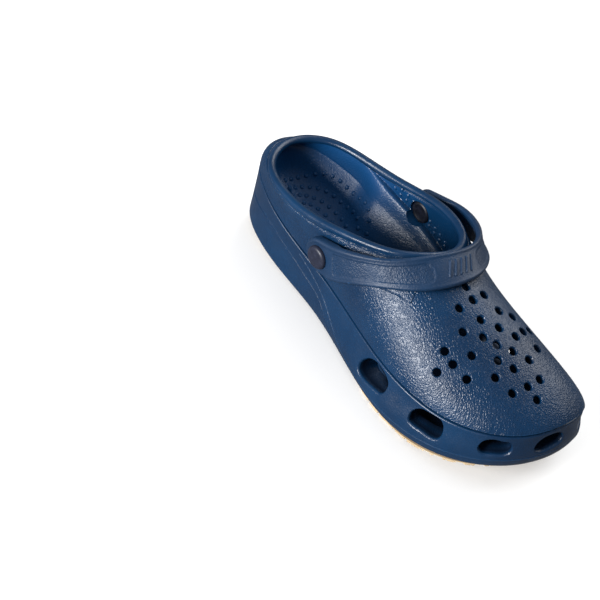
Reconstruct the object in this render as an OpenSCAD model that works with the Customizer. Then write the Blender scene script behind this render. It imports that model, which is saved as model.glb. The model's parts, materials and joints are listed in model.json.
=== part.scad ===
// Slip-on garden clog, right foot. +X points to the toe, +Y to the medial side,
// +Z up, and Z = 0 is the ground. The body is one foam moulding lofted through
// closed smooth rings; the strap turns on two rivets; two tread pads are let
// into the sole.

/* [Clog] */
// Length of the clog over all, heel to toe
clog_l = 278; // [270:1:290]
// Thickness of the upper and of the side walls
wall = 4.5; // [4:0.25:5.5]
// How far the toe of the sole curves up from the ground
toe_spring = 22; // [16:1:26]
// How far the back edge of the heel curves up
heel_lift = 8; // [4:1:10]
// Thickness of foam under the ball of the foot
ball_t = 13; // [11:1:15]
// Thickness of foam under the heel
heel_t = 24; // [20:1:26]

/* [Openings] */
// Diameter of the air holes in the vamp
hole_d = 5.2; // [4:0.2:6]
// Length of a vent in the side band
vent_l = 23; // [18:1:26]
// Height of a vent in the side band
vent_h = 10; // [8:0.5:11]

/* [Strap and rivets] */
// Thickness of the heel strap
strap_t = 3.5; // [3.25:0.25:4]
// Diameter of the round ends of the strap
strap_end_d = 25; // [23:0.5:26]
// Diameter of the rivet shank
shank_d = 5; // [4:0.5:6]
// Running clearance of a shank in the strap, on the radius
shank_fit = 0.08; // [0.02:0.01:0.1]
// Diameter of the outer rivet buttons
button_d = 16; // [14:0.5:18]
// Diameter of the inner rivet caps
cap_d = 15; // [13:0.5:17]

/* [Tread] */
// How far the tread pads stand out below the foam
tread_proud = 2; // [1.5:0.25:2.5]
// Depth that the tread pads are let into the foam
tread_inlay = 2; // [1.5:0.25:2.5]

/* [Hidden] */

navy = [0.07, 0.14, 0.30];
tan_rubber = [0.66, 0.60, 0.49];
black = [0.07, 0.07, 0.08];

k = clog_l / 278;      // every outline below is drawn for a 278 mm clog
ring_n = 64;           // points round a ring
ctrl_n = 16;           // control points round an outline
bead_r = 2.75;            // radius of the rolled rim of the collar
slack = 0.1;           // gap left round an inlaid or pushed-in piece
gap = 0.5;             // gap between pieces that slide past each other

// Control points round the sole, toe first and then the medial side:
// x, y, height of the parting line and its bulge, height of the groove above
// the sole and its inset, fullness of the upper above the groove, and how
// far the upper is pressed in halfway up
side = [
  [140, 14, 11, 1.5, 31, 2, -3, 0],
  [131, 43, 10, 2.0, 29, 1, 10, 0],
  [98, 52, 9, 2.0, 25, 1, -12, 7],
  [54, 53, 9, 2.0, 30, 1, -6, 5],
  [10, 45, 9, 2.0, 34, -1, 4, 0],
  [-39, 37, 11, 2.0, 35, -4, 36, 0],
  [-88, 35, 14, 2.0, 40, -4, 12, 0],
  [-129, 26, 17, 1.5, 45, -3.5, 0, 0],
  [-141, 2, 20, 1.0, 47, -3, 0, 0],
  [-129, -21, 20, 1.0, 45, -3.5, 0, 0],
  [-88, -29, 18, 1.0, 40, -4, -4, 0],
  [-39, -30, 13, 1.5, 36, -3.5, 6, 0],
  [10, -46, 9, 2.0, 36, -0.5, 4, 0],
  [55, -56, 10, 1.5, 36, 2, 0, 0],
  [99, -48, 11, 1.5, 32, 1, 0, 0],
  [132, -22, 11, 1.5, 28.5, 1, -2, 0]];

// Control points round the rim of the collar, front first, medial side next
collar = [
  [18, 0, 96], [15.5, 16, 91], [6.5, 31, 88], [-11, 39, 86],
  [-33, 43, 80], [-59, 42, 71], [-87, 40, 66], [-122, 33, 64.5],
  [-137, 3, 63.5], [-120, -29, 63], [-86, -38, 65], [-59, -39.5, 72],
  [-35, -39, 82], [-13, -35, 89], [2, -28, 94], [12, -15, 96]];

// Outlines of the two tread pads
ball_pad = [[128, 6], [125, 26], [109, 38], [80, 44], [48, 44], [22, 35], [7, 18], [2, -4],
            [1, -26], [16, -44], [47, -50], [79, -49], [106, -38], [122, -20]];
heel_pad = [[-37, 27], [-68, 27], [-104, 26], [-127, 19], [-133, 3], [-125, -14], [-98, -21], [-64, -22],
            [-35, -22], [-36, 2]];

// Strap: the upper and the lower edge of its outer face, from the lateral rivet
// over the instep to the medial rivet
strap_top = [[-47.5, -46, 70], [-33, -47.5, 76.5], [-24, -48, 82], [-12, -45.5, 88], [1, -39, 93.5],
             [11, -27.5, 99], [18, -11, 102], [22, 6, 102], [20, 22, 99.5], [12, 35.5, 95.5], [-2, 45, 91],
             [-16, 50, 86], [-28, 51, 81], [-42.5, 49.8, 76.5]];
strap_low = [[-37.5, -45, 47.5], [-26, -47, 51], [-10, -49, 65], [5, -46.5, 75.5], [17, -41, 82],
             [29, -32, 87.5], [38, -16, 92], [41, 1, 94], [38, 16, 92.5], [29, 31, 87.5], [15, 42, 80.5],
             [-3, 49.5, 70], [-19, 51, 57.5], [-33.5, 50.8, 53]];

// Points on the rivet axis: outer face of the lateral button, inner face of
// the medial cap
axis_lat = [-42.5, -48.5, 58.5];
axis_med = [-38.5, 40, 64];
axis_v = axis_med - axis_lat;
axis_yaw = atan2(axis_v.y, axis_v.x);
axis_tilt = acos(axis_v.z / norm(axis_v));

// Air holes of the vamp, row by row from the instep: x of the row, then the y of each hole
vamp_holes = [[39, -2], [48, 7, -3, -14], [60.5, 10, -6, -20], [66.5, 18], [62, -34], [70, 2, -11],
              [77.5, 25, 18], [78, -6], [79, 9.5], [74.5, -23], [71, -34], [67.5, -42], [86, 1, -11],
              [83, -32], [90.5, 20], [95, 8, -5], [93, -18], [108, 7, -3], [106, -14], [117, -2]];

// Vents of the band: place round the outline as a share of the way round
vents = [12.42, 13.58, 14.68, 15.66, 16.75, 17.9, 19.1];

// ---- smooth closed curves ----
function blend(a, b, s) = a * (1 - s) + b * s;
function weights(f) = [pow(1 - f, 3), 3 * pow(f, 3) - 6 * f * f + 4,
                       -3 * pow(f, 3) + 3 * f * f + 3 * f + 1, pow(f, 3)] / 6;
function on_loop(c, t) = let (n = len(c), i = floor(t), w = weights(t - i))
  sum4([for (j = [0:3]) w[j] * c[(i + j - 1 + n) % n]]);
function sum4(v) = v[0] + v[1] + v[2] + v[3];
function ring(c, n = ring_n) = [for (j = [0:n - 1]) on_loop(c, j * len(c) / n)];
// An open smooth curve that starts and ends on its first and last points
function held(c) = concat([2 * c[0] - c[1]], c, [2 * c[len(c) - 1] - c[len(c) - 2]]);
function on_line(c, t) = let (h = held(c), i = min(floor(t), len(c) - 2), w = weights(t - i))
  sum4([for (j = [0:3]) w[j] * h[i + j]]);

// ---- rules of the clog's shape ----
// Height of the sole's underside over the ground at x
function rise(x) = toe_spring * pow(max(0, (x / k - 47) / 95), 2)
                 + heel_lift * pow(max(0, (-x / k - 93) / 45), 2);
function smooth(t) = let (c = max(0, min(1, t))) c * c * (3 - 2 * c);
// Thickness of the foam under the foot at x
function foam(x) = ball_t + (heel_t - ball_t) * smooth((32 - x / k) / 90);
function outline_normal(i) = let (a = side[(i + 1) % ctrl_n], b = side[(i + ctrl_n - 1) % ctrl_n],
  d = [a.x - b.x, a.y - b.y]) [d.y, -d.x] / norm(d);
// Control ring: the outline moved in by "inset", at a height over the sole
function level(inset, h) = [for (i = [0:ctrl_n - 1])
  let (p = [side[i].x * k, side[i].y * k], q = p - outline_normal(i) * inset[i])
  [q.x, q.y, rise(p.x) + h[i]]];
function same(v) = [for (i = [0:ctrl_n - 1]) v];
function column(j, add = 0, times = 1) = [for (s = side) s[j] * times + add];

rim = ring([for (c = collar) [c.x * k, c.y * k, c.z]]);
groove = ring(level(column(5), column(4)));
lip = ring(level(column(5), column(4, 1.2)));
function push(column) = ring([for (i = [0:ctrl_n - 1])
  let (n = outline_normal(i)) [n.x, n.y, 0] * side[i][column]]);
full = push(6);
pressed = push(7);

// Upper: from the groove (s = 0) up to the rim (s = 1)
function upper(j, s) = let (a = lip[j], b = rim[j], d = b - a,
  up = [0, 0, min(norm(d), 30)] + 0.3 * d + full[j], top = 0.9 * d)
  (2 * pow(s, 3) - 3 * s * s + 1) * a + (pow(s, 3) - 2 * s * s + s) * up
  + (3 * s * s - 2 * pow(s, 3)) * b + (pow(s, 3) - s * s) * top - 16 * pow(s * (1 - s), 2) * pressed[j];
function unit(v) = v / norm(v);
function upper_normal(j, s) = let (e = 0.02, a = (j + 1) % ring_n, b = (j + ring_n - 1) % ring_n,
  along = upper(a, s) - upper(b, s), rise_v = upper(j, min(1, s + e)) - upper(j, max(0, s - e)))
  unit(cross(along, rise_v));
function upper_ring(s, depth = 0) = [for (j = [0:ring_n - 1]) upper(j, s) - depth * upper_normal(j, s)];
// Rolled rim: a point on the bead at angle a, 0 outside, 90 on the crest, 180 inside
function bead_ring(a) = [for (j = [0:ring_n - 1])
  let (n = upper_normal(j, 1), t = unit(upper(j, 1) - upper(j, 0.96)))
  rim[j] - n * wall / 2 + bead_r * (cos(a) * n + sin(a) * t)];

// ---- body ----
foot_h = [for (s = side) foam(s.x * k)];
outer_rings = [
  ring(level(same(6), same(tread_proud))),
  ring(level(same(1.8), same(tread_proud + 0.4))),
  ring(level(same(0), same(tread_proud + 2.4))),
  ring(level(column(3, 0, -1), column(2))),
  ring(level([for (s = side) blend(-s[3], s[5], 0.45)], [for (s = side) blend(s[2], s[4], 0.5)])),
  ring(level(column(5), column(4, -1.3))),
  ring(level(column(5, 1.3), column(4))),
  lip];
upper_steps = [0.12, 0.25, 0.4, 0.55, 0.7, 0.83, 0.93];
inner_rings = [
  ring(level(column(5, wall + 1.5), [for (i = [0:ctrl_n - 1]) max(side[i][4], foot_h[i] + 12)])),
  ring(level(column(5, wall + 3.5), [for (h = foot_h) h + 7])),
  ring(level(same(11), [for (h = foot_h) h + 2.5])),
  ring(level(same(18), foot_h))];
body_rings = concat(outer_rings,
  [for (s = upper_steps) upper_ring(s)],
  [for (a = [-35:45:235]) bead_ring(a)],
  [for (i = [len(upper_steps) - 1:-1:0]) upper_ring(upper_steps[i], wall)],
  inner_rings);

// Closed skin through a list of rings, with a ladder of flat strips across
// the first and the last ring
module skin(rings) {
  n = len(rings[0]);
  m = len(rings);
  pts = [for (r = rings) each r];
  wall_faces = [for (i = [0:m - 2]) for (j = [0:n - 1]) let (a = i * n + j, b = i * n + (j + 1) % n)
    each [[a, b + n, b], [a, a + n, b + n]]];
  polyhedron(pts, concat(wall_faces, ladder(n, 0, false), ladder(n, (m - 1) * n, true)));
}
function ladder(n, base, flip) = [for (t = concat([[0, 1, n - 1], [n / 2, n / 2 + 1, n / 2 - 1]],
  [for (j = [1:n / 2 - 2]) each [[j, j + 1, n - j - 1], [j, n - j - 1, n - j]]]))
  flip ? [base + t[0], base + t[2], base + t[1]] : [base + t[0], base + t[1], base + t[2]]];

// ---- air holes and vents ----
grid_steps = [0.2:0.05:0.95];
grid = [for (s = grid_steps) for (j = [0:ring_n - 1]) let (p = upper(j, s))
  if (p.x > 22) [p.x, p.y, p.z, j, s]];
function nearest(x, y, i = 0, best = 0, d = 1e9) = i == len(grid) ? grid[best]
  : let (e = pow(grid[i].x - x, 2) + pow(grid[i].y - y, 2))
    e < d ? nearest(x, y, i + 1, i, e) : nearest(x, y, i + 1, best, d);

module along(v) {
  rotate([0, acos(v.z / norm(v)), atan2(v.y, v.x)]) children();
}
module air_hole(x, y) {
  g = nearest(x * k, y * k);
  n = upper_normal(g[3], g[4]);
  translate([x * k, y * k, g.z - ((x * k - g.x) * n.x + (y * k - g.y) * n.y) / n.z])
    along(n) cylinder(h = 3 * wall, d = hole_d, center = true, $fn = 24);
}
module vent(t) {
  u = t % ctrl_n;
  p = on_loop(level(same(0), column(4, 0, 0.62)), u);
  q = on_loop(level(same(0), column(4, 0, 0.62)), u + 0.1);
  translate([p.x, p.y, p.z]) rotate([0, 0, atan2(q.y - p.y, q.x - p.x)])
    rotate([-90, atan2(p.z - q.z, norm([q.x - p.x, q.y - p.y])), 0]) slot(vent_l, vent_h, 26);
}
module slot(l, h, depth) {
  cube([l - h, h, depth], center = true);
  for (s = [-1, 1]) translate([s * (l - h) / 2, 0, 0]) cylinder(h = depth, d = h, center = true, $fn = 32);
}

// Places its children on the rivet axis, a given distance from the lateral end,
// with +Z of the children pointing to the medial side
module on_axis(d) {
  translate(axis_lat) rotate([0, axis_tilt, axis_yaw]) translate([0, 0, d]) children();
}
axis_l = norm(axis_v);
button_t = 3;
cap_t = 2;
// Length of a shank with its button, lateral and medial
shank_lat = 14.3;
shank_med = 13.6;
// Distances along the axis, from the face of the lateral button
lat_strap = button_t + 0.05;
lat_seat = 13.3;
med_seat = 89.5;
med_wall = 93.4;
med_strap = med_wall + gap;
// Thickness of the round ends of the strap
end_t = 5.2;

module clog_body() {
  color(navy) difference() {
    skin(body_rings);
    pad_solid(ball_pad, tread_proud + tread_inlay + slack, slack);
    pad_solid(heel_pad, tread_proud + tread_inlay + slack, slack);
    for (row = vamp_holes) for (j = [1:len(row) - 1]) air_hole(row[0], row[j]);
    for (t = vents) vent(t);
    on_axis(-10) cylinder(h = axis_l + 30, d = shank_d + 2 * slack, $fn = 48);
    // Flat seats for the caps, and one for the medial end of the strap
    on_axis(lat_seat) cylinder(h = med_seat - lat_seat, d = cap_d + 1.5, $fn = 48);
    on_axis(med_wall) cylinder(h = 12, d = strap_end_d + 4, $fn = 48);
  }
}

// ---- strap ----
strap_n = 40;
function strap_section(t) = let (a = on_line(strap_top, t), b = on_line(strap_low, t),
  e = 0.05, mid = (a + b) / 2, w = unit(a - b), c = t > 1 ? -e : e,
  ahead = (on_line(strap_top, t + c) + on_line(strap_low, t + c)) / 2 - mid,
  n = unit(cross(ahead * sign(c), w)), hw = norm(a - b) / 2)
  [for (q = [[-hw + 1, 0], [hw - 1, 0], [hw, -1], [hw, 1 - strap_t], [hw - 1, -strap_t],
             [1 - hw, -strap_t], [-hw, 1 - strap_t], [-hw, -1]]) mid + w * q.x + n * q.y];
module strap_band() {
  last = len(strap_top) - 1;
  rows = [for (i = [0:strap_n]) strap_section(i * last / strap_n)];
  n = 8;
  faces = [for (i = [0:strap_n - 1]) for (j = [0:n - 1])
    let (a = i * n + j, b = i * n + (j + 1) % n) each [[a, b, b + n], [a, b + n, a + n]]];
  ends = [for (j = [1:n - 2]) each [[0, j + 1, j], [strap_n * n, strap_n * n + j, strap_n * n + j + 1]]];
  polyhedron([for (r = rows) each r], concat(faces, ends));
}
module strap_end(d) {
  on_axis(d) cylinder(h = end_t, d = strap_end_d, $fn = 64);
}
module heel_strap() {
  color(navy) difference() {
    union() {
      strap_band();
      strap_end(lat_strap);
      strap_end(med_strap);
    }
    on_axis(-20) cylinder(h = axis_l + 50, d = shank_d + 2 * shank_fit, $fn = 48);
    // Flat seats for the two buttons
    on_axis(lat_strap - 12) cylinder(h = 12, d = button_d + 1.5, $fn = 64);
    on_axis(med_strap + end_t) cylinder(h = 12, d = button_d + 1.5, $fn = 64);
  }
}

// ---- rivets ----
module rivet_button_lateral() {
  color(black) on_axis(0) union() {
    button_head();
    cylinder(h = shank_lat, d = shank_d, $fn = 48);
  }
}
module rivet_button_medial() {
  color(black) on_axis(med_strap + end_t + button_t + 0.05) mirror([0, 0, 1]) union() {
    button_head();
    cylinder(h = shank_med, d = shank_d, $fn = 48);
  }
}
module button_head() {
  rotate_extrude($fn = 64) polygon([[0, 0], [button_d / 2 - 1.5, 0], [button_d / 2 - 0.4, 0.5],
    [button_d / 2, 1.5], [button_d / 2, button_t], [0, button_t]]);
}
module cap_head() {
  difference() {
    rotate_extrude($fn = 64) polygon([[0, 0], [cap_d / 2 - 1.3, 0], [cap_d / 2 - 0.3, 0.4],
      [cap_d / 2, 1.2], [cap_d / 2, cap_t], [0, cap_t]]);
    translate([0, 0, 1]) cylinder(h = cap_t, d = shank_d + 2 * shank_fit, $fn = 48);
  }
}
module rivet_cap_lateral() {
  color(black) on_axis(lat_seat + 0.05 + cap_t) mirror([0, 0, 1]) cap_head();
}
module rivet_cap_medial() {
  color(black) on_axis(med_seat - 0.05 - cap_t) cap_head();
}

// ---- tread pads ----
function pad_ring(c, grow, h, n = 48) = [for (j = [0:n - 1])
  let (p = on_loop(c, j * len(c) / n), a = on_loop(c, j * len(c) / n + 0.05), d = [a.x - p.x, a.y - p.y],
    q = [p.x, p.y] + [d.y, -d.x] / norm(d) * grow) [q.x * k, q.y * k, rise(q.x * k) + h]];
module pad_solid(c, h, grow) {
  skin([pad_ring(c, grow, -grow), pad_ring(c, grow, h)]);
}
module forefoot_tread() {
  color(tan_rubber) pad_solid(ball_pad, tread_proud + tread_inlay, 0);
}
module heel_tread() {
  color(tan_rubber) pad_solid(heel_pad, tread_proud + tread_inlay, 0);
}

clog_body();
heel_strap();
rivet_button_lateral();
rivet_button_medial();
rivet_cap_lateral();
rivet_cap_medial();
forefoot_tread();
heel_tread();
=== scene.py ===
"""Slip-on garden clog, right foot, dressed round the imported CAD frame.

+X points to the toe, +Y to the medial side and +Z up. Shapes are worked out
in millimetres and turned into metres when a piece is made.
"""

import json
import math

import bmesh
import bpy
import numpy as np
from mathutils import Matrix, Vector
from mathutils.bvhtree import BVHTree
from mathutils.kdtree import KDTree


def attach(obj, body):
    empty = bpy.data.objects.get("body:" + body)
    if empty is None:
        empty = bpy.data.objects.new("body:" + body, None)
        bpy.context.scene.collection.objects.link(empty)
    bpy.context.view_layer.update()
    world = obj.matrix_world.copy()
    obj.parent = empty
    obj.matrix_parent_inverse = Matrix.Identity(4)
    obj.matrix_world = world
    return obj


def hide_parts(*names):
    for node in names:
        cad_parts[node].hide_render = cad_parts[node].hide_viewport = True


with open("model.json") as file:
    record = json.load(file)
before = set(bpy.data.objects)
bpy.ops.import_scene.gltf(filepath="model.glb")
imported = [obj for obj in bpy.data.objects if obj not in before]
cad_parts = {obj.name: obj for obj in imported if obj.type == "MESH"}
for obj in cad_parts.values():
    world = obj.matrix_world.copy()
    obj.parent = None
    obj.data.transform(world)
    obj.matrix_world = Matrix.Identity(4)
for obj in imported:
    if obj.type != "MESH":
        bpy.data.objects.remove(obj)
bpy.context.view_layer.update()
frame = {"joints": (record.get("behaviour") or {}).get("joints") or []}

MM = 0.001

# ---------------------------------------------------------------- dimensions
# Control points round the sole, toe first and then the medial side: x, y,
# height of the parting line and its bulge, height of the groove over the
# sole and its inset, fullness of the upper above the groove, and how far the
# upper is pressed in halfway up.
SIDE = np.array([
    [140, 14, 11, 1.5, 31, 2, -3, 0],
    [131, 43, 10, 2, 29, 1, 10, 0],
    [98, 52, 9, 2, 25, 1, -12, 7],
    [54, 53, 9, 2, 30, 1, -6, 5],
    [10, 45, 9, 2, 34, -1, 4, 0],
    [-39, 37, 11, 2, 35, -4, 36, 0],
    [-88, 35, 14, 2, 40, -4, 12, 0],
    [-129, 26, 17, 1.5, 45, -3.5, 0, 0],
    [-141, 2, 20, 1, 47, -3, 0, 0],
    [-129, -21, 20, 1, 45, -3.5, 0, 0],
    [-88, -29, 18, 1, 40, -4, -4, 0],
    [-39, -30, 13, 1.5, 36, -3.5, 6, 0],
    [10, -46, 9, 2, 36, -0.5, 4, 0],
    [55, -56, 10, 1.5, 36, 2, 0, 0],
    [99, -48, 11, 1.5, 32, 1, 0, 0],
    [132, -22, 11, 1.5, 28.5, 1, -2, 0]], float)
# Control points round the rim of the collar, front first, medial side next.
COLLAR = np.array([
    [18, 0, 96], [15.5, 16, 91], [6.5, 31, 88], [-11, 39, 86],
    [-33, 43, 80], [-59, 42, 71], [-87, 40, 66], [-122, 33, 64.5],
    [-137, 3, 63.5], [-120, -29, 63], [-86, -38, 65], [-59, -39.5, 72],
    [-35, -39, 82], [-13, -35, 89], [2, -28, 94], [12, -15, 96]], float)
BALL_PAD = np.array([
    [128, 6], [125, 26], [109, 38], [80, 44], [48, 44], [22, 35], [7, 18],
    [2, -4], [1, -26], [16, -44], [47, -50], [79, -49], [106, -38],
    [122, -20]], float)
HEEL_PAD = np.array([
    [-37, 27], [-68, 27], [-104, 26], [-127, 19], [-133, 3], [-125, -14],
    [-98, -21], [-64, -22], [-35, -22], [-36, 2]], float)
# Upper and lower edge of the strap's outer face, lateral rivet first.
STRAP_TOP = np.array([
    [-47.5, -46, 70], [-33, -47.5, 76.5], [-24, -48, 82], [-12, -45.5, 88],
    [1, -39, 93.5], [11, -27.5, 99], [18, -11, 102], [22, 6, 102],
    [20, 22, 99.5], [12, 35.5, 95.5], [-2, 45, 91], [-16, 50, 86],
    [-28, 51, 81], [-42.5, 49.8, 76.5]], float)
STRAP_LOW = np.array([
    [-37.5, -45, 47.5], [-26, -47, 51], [-10, -49, 65], [5, -46.5, 75.5],
    [17, -41, 82], [29, -32, 87.5], [38, -16, 92], [41, 1, 94],
    [38, 16, 92.5], [29, 31, 87.5], [15, 42, 80.5], [-3, 49.5, 70],
    [-19, 51, 57.5], [-33.5, 50.8, 53]], float)
# Air holes of the vamp: x of a row, then the y of each hole in it.
VAMP_HOLES = [
    [39, -2], [48, 7, -3, -14], [60.5, 10, -6, -20], [66.5, 18], [62, -34],
    [70, 2, -11], [77.5, 25, 18], [78, -6], [79, 9.5], [74.5, -23], [71, -34],
    [67.5, -42], [86, 1, -11], [83, -32], [90.5, 20], [95, 8, -5], [93, -18],
    [108, 7, -3], [106, -14], [117, -2]]
# Outlines of the vents of the band: place round the outline, height over
# the sole. The lateral ones come first, then three on the medial side.
VENTS = [
    [(12.20, 16), (12.19, 21), (12.26, 27), (12.36, 30.5), (12.48, 32),
     (12.64, 31), (12.75, 28), (12.77, 23), (12.73, 18.5), (12.63, 17),
     (12.45, 15), (12.28, 14)],
    [(13.32, 18), (13.30, 23), (13.34, 27), (13.43, 30), (13.57, 30.5),
     (13.72, 30), (13.80, 27), (13.84, 21), (13.81, 16), (13.71, 15),
     (13.56, 16), (13.40, 16.5)],
    [(14.43, 18), (14.43, 22), (14.49, 25), (14.60, 26), (14.74, 25),
     (14.86, 24), (14.91, 20), (14.89, 16.5), (14.80, 15), (14.66, 15),
     (14.52, 15)],
    [(15.34, 17), (15.37, 22), (15.50, 25), (15.70, 25.5), (15.86, 23.5),
     (15.92, 20), (15.86, 16.5), (15.68, 15), (15.48, 14)],
    [(0.48, 17), (0.46, 21), (0.56, 24.5), (0.76, 25), (0.93, 23),
     (0.98, 19), (0.92, 15.5), (0.74, 14.5), (0.56, 14.5)],
    [(1.62, 16), (1.60, 20), (1.68, 23), (1.88, 24), (2.08, 24),
     (2.16, 21), (2.15, 16.5), (2.06, 15), (1.86, 14.5), (1.70, 14.5)],
    [(2.84, 16), (2.82, 20), (2.88, 25), (3.04, 27), (3.24, 26),
     (3.34, 22), (3.33, 17), (3.22, 15), (3.04, 14.5), (2.90, 14.5)]]

TOE_SPRING, HEEL_LIFT = 22, 8
BALL_FOAM, HEEL_FOAM = 13, 24
WALL = 4.5
TREAD_PROUD, TREAD_INLAY, TREAD_SLACK = 2, 2, 0.1
HOLE_R = 2.6
BEAD_R = 2.75
BEAD_LINE, BEAD_SUNK = 3.1, 0.75
STRAP_T, STRAP_END_T, STRAP_END_R = 3.5, 5.2, 12.5
SHANK_R, SHANK_FIT = 2.5, 0.08
BORE_SLACK, CAP_SLACK = 0.1, 0.75
BUTTON_T = 3
CAP_R = 7.5
SHANK_LATERAL, SHANK_MEDIAL = 14.3, 13.6
# Distances along the rivet axis from the face of the lateral button.
LAT_STRAP = BUTTON_T + 0.05
LAT_SEAT, MED_SEAT, MED_WALL = 13.3, 89.5, 93.4
MED_STRAP = MED_WALL + 0.5

hinge = frame["joints"][0]
PIVOT = np.array(hinge["pos_m"]) / MM
AXIS = -np.array(hinge["axis"], float)
AXIS /= np.linalg.norm(AXIS)


def on_axis(d):
    """A point on the rivet axis, d from the face of the lateral button."""
    return PIVOT + AXIS * d


# -------------------------------------------------------------- curve rules
def blend_weights(f):
    return [(1 - f) ** 3, 3 * f ** 3 - 6 * f * f + 4,
            -3 * f ** 3 + 3 * f * f + 3 * f + 1, f ** 3]


def closed_curve(control, t):
    """Points of a smooth closed curve, one unit of t per control point."""
    c = np.asarray(control, float)
    if c.ndim == 1:
        return closed_curve(c[:, None], t)[..., 0]
    t = np.asarray(t, float) % len(c)
    i = np.floor(t).astype(int)
    w = blend_weights(t - i)
    return sum(w[k][..., None] * c[(i + k - 1) % len(c)] for k in range(4)) / 6


def open_curve(control, t):
    """Points of a smooth curve held to its first and last control point."""
    c = np.asarray(control, float)
    c = np.vstack([2 * c[0] - c[1], c, 2 * c[-1] - c[-2]])
    t = np.asarray(t, float)
    i = np.clip(np.floor(t).astype(int), 0, len(c) - 4)
    w = blend_weights(t - i)
    return sum(w[k][..., None] * c[i + k] for k in range(4)) / 6


def spline(a, b, c, d, u):
    """A point between b and c on a smooth curve through a, b, c and d."""
    return 0.5 * (2 * b + (c - a) * u
                  + (2 * a - 5 * b + 4 * c - d) * u ** 2
                  + (3 * b - a - 3 * c + d) * u ** 3)


def through(points, steps):
    """A smooth curve through the points (first axis), steps per span."""
    p = [2 * points[0] - points[1], *points, 2 * points[-1] - points[-2]]
    out = [spline(a, b, c, d, u) for a, b, c, d in zip(p, p[1:], p[2:], p[3:])
           for u in np.arange(steps) / steps]
    return [*out, points[-1]]


def smooth(t):
    t = np.clip(t, 0, 1)
    return t * t * (3 - 2 * t)


def unit(v):
    return v / np.maximum(np.linalg.norm(v, axis=-1, keepdims=True), 1e-9)


# ------------------------------------------------------------ rules of shape
def rise(x):
    """Height of the sole's underside over the ground."""
    return (TOE_SPRING * np.maximum(0, (x - 47) / 95) ** 2
            + HEEL_LIFT * np.maximum(0, (-x - 93) / 45) ** 2)


def foam(x):
    """Thickness of the foam under the foot."""
    return BALL_FOAM + (HEEL_FOAM - BALL_FOAM) * smooth((32 - x) / 90)


_ahead, _behind = np.roll(SIDE[:, :2], -1, 0), np.roll(SIDE[:, :2], 1, 0)
OUT = unit(np.stack([(_ahead - _behind)[:, 1], -(_ahead - _behind)[:, 0]], 1))


def level(t, inset, h):
    """A point of the outline at t, moved in by inset, h over the sole."""
    inset, h = np.broadcast_arrays(inset, h)
    xy = closed_curve(SIDE[:, :2], t) - closed_curve(OUT, t) * inset[..., None]
    z = closed_curve(rise(SIDE[:, 0]), t) + h
    return np.concatenate([xy, np.asarray(z)[..., None]], -1)


def groove_h(t):
    return closed_curve(SIDE[:, 4], t)


def groove_inset(t):
    return closed_curve(SIDE[:, 5], t)


# Height over the sole where its rounded edge meets the band.
EDGE_H = 4.4


def band_inset(t, h):
    """How far the side band lies inside the outline at t, h over the
    sole."""
    part, bulge = closed_curve(SIDE[:, 2], t), closed_curve(SIDE[:, 3], t)
    top, inset = groove_h(t), groove_inset(t)
    knots = [EDGE_H + 0 * part, part, (part + top) / 2, top]
    values = [0 * part, -bulge, 0.45 * inset - 0.55 * bulge, inset]
    total = 0
    for i, (k, v) in enumerate(zip(knots, values)):
        term = v
        for j, other in enumerate(knots):
            if j != i:
                term = term * (h - other) / (k - other)
        total = total + term
    return total


def band(t, h):
    """A point on the side band at t, h over the sole."""
    return level(t, band_inset(t, h), h)


def band_out(t, h, e=0.02):
    """Outward normal of the side band."""
    return unit(np.cross(band(t + e, h) - band(t - e, h),
                         band(t, h + 0.3) - band(t, h - 0.3)))


def lip(t):
    return level(t, groove_inset(t), groove_h(t) + 1.2)


def outward_push(t, column):
    """A column of SIDE, as a level push away from the middle of the clog."""
    flat = np.concatenate([OUT, np.zeros((len(OUT), 1))], 1)
    return closed_curve(flat * SIDE[:, column:column + 1], t)


def upper(t, s):
    """A point on the outside of the upper: s is 0 at the groove, 1 at the
    rim."""
    s = np.asarray(s, float)[..., None]
    a, b = lip(t), closed_curve(COLLAR, t)
    d = b - a
    length = np.linalg.norm(d, axis=-1, keepdims=True)
    start = 0.3 * d + outward_push(t, 6)
    start[..., 2:] += np.minimum(length, 30)
    return ((2 * s ** 3 - 3 * s * s + 1) * a + (s ** 3 - 2 * s * s + s) * start
            + (3 * s * s - 2 * s ** 3) * b + (s ** 3 - s * s) * 0.9 * d
            - 16 * (s * (1 - s)) ** 2 * outward_push(t, 7))


def upper_out(t, s, e=0.01):
    """Outward normal of the upper."""
    lo, hi = np.maximum(s - e, 0), np.minimum(s + e, 1)
    return unit(np.cross(upper(t + 0.03, s) - upper(t - 0.03, s),
                         upper(t, hi) - upper(t, lo)))


# --------------------------------------------------------------- mesh making
def ladder(n, base, across):
    """Faces between n ring points and the rows of points that cross it."""
    faces = []
    half = n // 2

    def row(j):
        if j in (0, half):
            return [j + base[0]] * (across + 1)
        first = base[1] + (j - 1) * (across - 1)
        return [j + base[0], *range(first, first + across - 1),
                n - j + base[0]]

    for j in range(half):
        a, b = row(j), row(j + 1)
        for k in range(across):
            f = []
            for v in (a[k], a[k + 1], b[k + 1], b[k]):
                if v not in f:
                    f.append(v)
            if len(f) > 2:
                faces.append(f)
    return faces


def cross_points(ring, across, shape):
    """Points on straight lines across a ring, lowered or raised by shape."""
    n = len(ring)
    u = np.arange(1, across) / across
    rows = []
    for j in range(1, n // 2):
        a, b = ring[j], ring[n - j]
        p = a + (b - a) * u[:, None]
        rows.append(shape(p, u, np.linalg.norm(b - a)))
    return np.concatenate(rows)


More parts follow.
